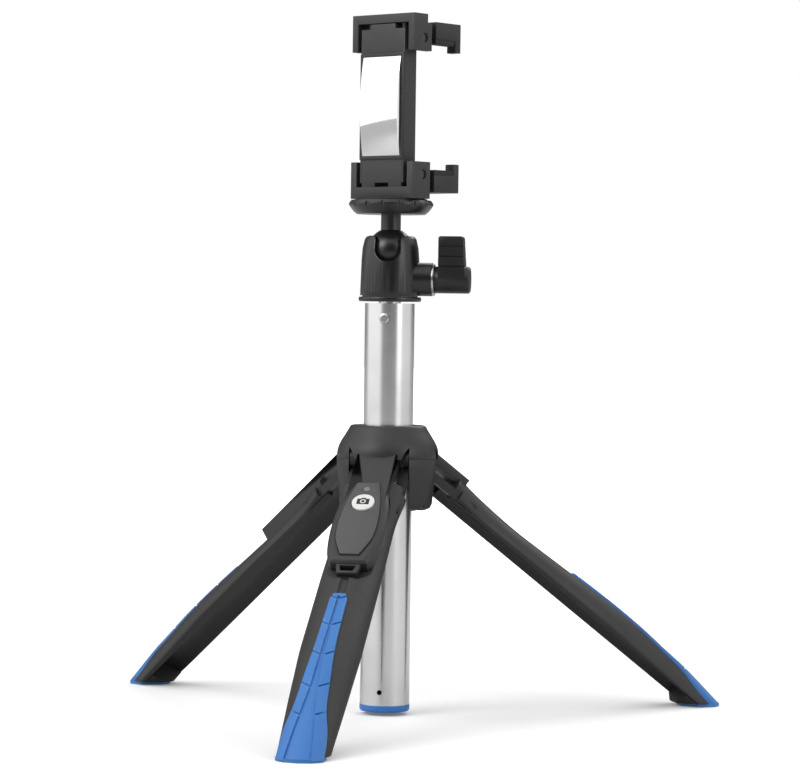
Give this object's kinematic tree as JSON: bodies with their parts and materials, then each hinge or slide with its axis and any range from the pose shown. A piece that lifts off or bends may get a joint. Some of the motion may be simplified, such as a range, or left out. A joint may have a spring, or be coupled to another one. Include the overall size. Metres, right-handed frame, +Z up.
{
  "type": "selfie stick",
  "caption": "Telescopic selfie stick with folding tripod legs, sliding hub, lift-out remote, ball head and a sprung phone clamp with a convex mirror.",
  "frame": {"origin": "on the floor plane, under the axis of the pole, with the legs open", "axes": "+Z up along the pole, -Y towards the front leg that carries the remote, +X to the right seen from the front"},
  "size_m": [0.2552, 0.2235, 0.281],
  "materials": {
    "charcoal_plastic": "fine textured moulded plastic",
    "liner_plastic": "moulded plastic",
    "bush_plastic": "low friction moulded plastic",
    "steel": "turned steel",
    "blue_rubber": "matt coloured rubber",
    "face_plastic": "satin plate",
    "board": "printed circuit board",
    "white_plastic": "smooth",
    "satin_aluminium": "satin anodised",
    "black_metal": "satin black",
    "knob_plastic": "satin moulded plastic",
    "pad_rubber": "matt",
    "clamp_plastic": "fine textured moulded plastic",
    "mirror": "polished"
  },
  "bodies": {
    "hub": {"hub_cap": "charcoal_plastic", "hub_lobes": "charcoal_plastic", "hub_bush": "bush_plastic", "hub_screws": "steel", "leg_pins": "steel"},
    "leg_front": {"leg_shell_front": "charcoal_plastic", "leg_liner_front": "liner_plastic", "leg_grip_front": "blue_rubber"},
    "leg_right": {"leg_shell_right": "charcoal_plastic", "leg_liner_right": "liner_plastic", "leg_grip_right": "blue_rubber"},
    "leg_left": {"leg_shell_left": "charcoal_plastic", "leg_liner_left": "liner_plastic", "leg_grip_left": "blue_rubber"},
    "remote": {"remote_case_base": "charcoal_plastic", "remote_case_top": "charcoal_plastic", "remote_face_plate": "face_plastic", "remote_circuit_board": "board", "remote_coin_cell": "steel", "remote_led": "white_plastic"},
    "shutter_button": {"remote_button": "white_plastic"},
    "pole_1": {"pole_tube_1": "satin_aluminium", "pole_bush_1": "bush_plastic", "pole_foot_plug": "blue_rubber"},
    "detent_button": {"tube_button": "steel"},
    "pole_2": {"pole_tube_2": "satin_aluminium", "pole_bushes_2": "bush_plastic"},
    "pole_3": {"pole_tube_3": "satin_aluminium", "pole_bushes_3": "bush_plastic"},
    "pole_4": {"pole_tube_4": "satin_aluminium", "pole_bushes_4": "bush_plastic"},
    "pole_5": {"pole_tube_5": "satin_aluminium", "pole_sleeve_5": "bush_plastic", "pole_top_plug": "bush_plastic", "head_screw": "steel", "base_flange": "black_metal"},
    "head": {"pan_washer": "bush_plastic", "ball_housing": "black_metal", "ball_cup": "bush_plastic"},
    "locking_knob": {"knob": "knob_plastic", "knob_stud": "steel", "knob_washer": "steel"},
    "ball": {"ball_stud": "black_metal", "camera_screw": "steel"},
    "ring": {"thumb_ring": "black_metal", "platform_pad": "pad_rubber"},
    "clamp": {"clamp_body": "clamp_plastic", "mirror_bezel": "charcoal_plastic", "mirror": "mirror", "lower_bracket": "clamp_plastic", "clamp_spring": "steel", "lower_arm_pins": "black_metal"},
    "jaw": {"upper_bracket": "clamp_plastic", "guide_rods": "black_metal", "upper_arm_pins": "black_metal"},
    "top_arm": {"upper_arm": "charcoal_plastic", "upper_pads": "pad_rubber"},
    "bottom_arm": {"lower_arm": "charcoal_plastic", "lower_pads": "pad_rubber"}
  },
  "joints": [
    {"name": "leg_front_fold", "type": "hinge", "parent": "hub", "child": "leg_front", "pos_m": [0, -0.012, 0.10325], "axis": [1, 0, 0], "range_deg": [0, 52]},
    {"name": "leg_right_fold", "type": "hinge", "parent": "hub", "child": "leg_right", "pos_m": [0.01039, 0.006, 0.10325], "axis": [-0.5, 0.866, 0], "range_deg": [0, 52]},
    {"name": "leg_left_fold", "type": "hinge", "parent": "hub", "child": "leg_left", "pos_m": [-0.01039, 0.006, 0.10325], "axis": [-0.5, -0.866, 0], "range_deg": [0, 52]},
    {"name": "remote_lift", "type": "slide", "parent": "leg_front", "child": "remote", "axis": [0, -0.6157, 0.788], "range_m": [0, 0.015]},
    {"name": "shutter_press", "type": "slide", "parent": "remote", "child": "shutter_button", "axis": [0, 0.6157, -0.788], "range_m": [0, 0.0004], "stiffness_N_per_m": 600},
    {"name": "pole_slide", "type": "slide", "parent": "hub", "child": "pole_1", "axis": [0, 0, 1], "range_m": [-0.0493, 0.09]},
    {"name": "detent_press", "type": "slide", "parent": "pole_1", "child": "detent_button", "axis": [0, 1, 0], "range_m": [0, 0.0006], "stiffness_N_per_m": 600},
    {"name": "section_2_slide", "type": "slide", "parent": "pole_1", "child": "pole_2", "axis": [0, 0, 1], "range_m": [0, 0.135]},
    {"name": "section_3_slide", "type": "slide", "parent": "pole_2", "child": "pole_3", "axis": [0, 0, 1], "range_m": [0, 0.135]},
    {"name": "section_4_slide", "type": "slide", "parent": "pole_3", "child": "pole_4", "axis": [0, 0, 1], "range_m": [0, 0.135]},
    {"name": "section_5_slide", "type": "slide", "parent": "pole_4", "child": "pole_5", "axis": [0, 0, 1], "range_m": [0, 0.135]},
    {"name": "head_pan", "type": "hinge", "parent": "pole_5", "child": "head", "pos_m": [0, 0, 0.1685], "axis": [0, 0, 1], "continuous": true},
    {"name": "ball_tilt", "type": "hinge", "parent": "head", "child": "ball", "pos_m": [0, 0, 0.1865], "axis": [0.9954, 0.0958, 0], "range_deg": [-20, 90]},
    {"name": "knob_turn", "type": "hinge", "parent": "head", "child": "locking_knob", "pos_m": [0, 0, 0.1751], "axis": [0.9954, 0.0958, 0], "continuous": true},
    {"name": "ring_turn", "type": "hinge", "parent": "ball", "child": "ring", "pos_m": [0, 0, 0.204], "axis": [0, 0, 1], "continuous": true},
    {"name": "clamp_turn", "type": "hinge", "parent": "ball", "child": "clamp", "pos_m": [0, 0, 0.2074], "axis": [0, 0, 1], "continuous": true},
    {"name": "jaw_slide", "type": "slide", "parent": "clamp", "child": "jaw", "axis": [0, 0, 1], "range_m": [0, 0.035], "stiffness_N_per_m": 150, "springref_m": -0.02, "deforming": ["clamp_spring"]},
    {"name": "top_arm_fold", "type": "hinge", "parent": "jaw", "child": "top_arm", "pos_m": [0.00021, 0.0004, 0.2714], "axis": [-0.8829, 0.4695, 0], "range_deg": [0, 90]},
    {"name": "bottom_arm_fold", "type": "hinge", "parent": "clamp", "child": "bottom_arm", "pos_m": [0.00021, 0.0004, 0.217], "axis": [0.8829, -0.4695, 0], "range_deg": [0, 90]}
  ]
}
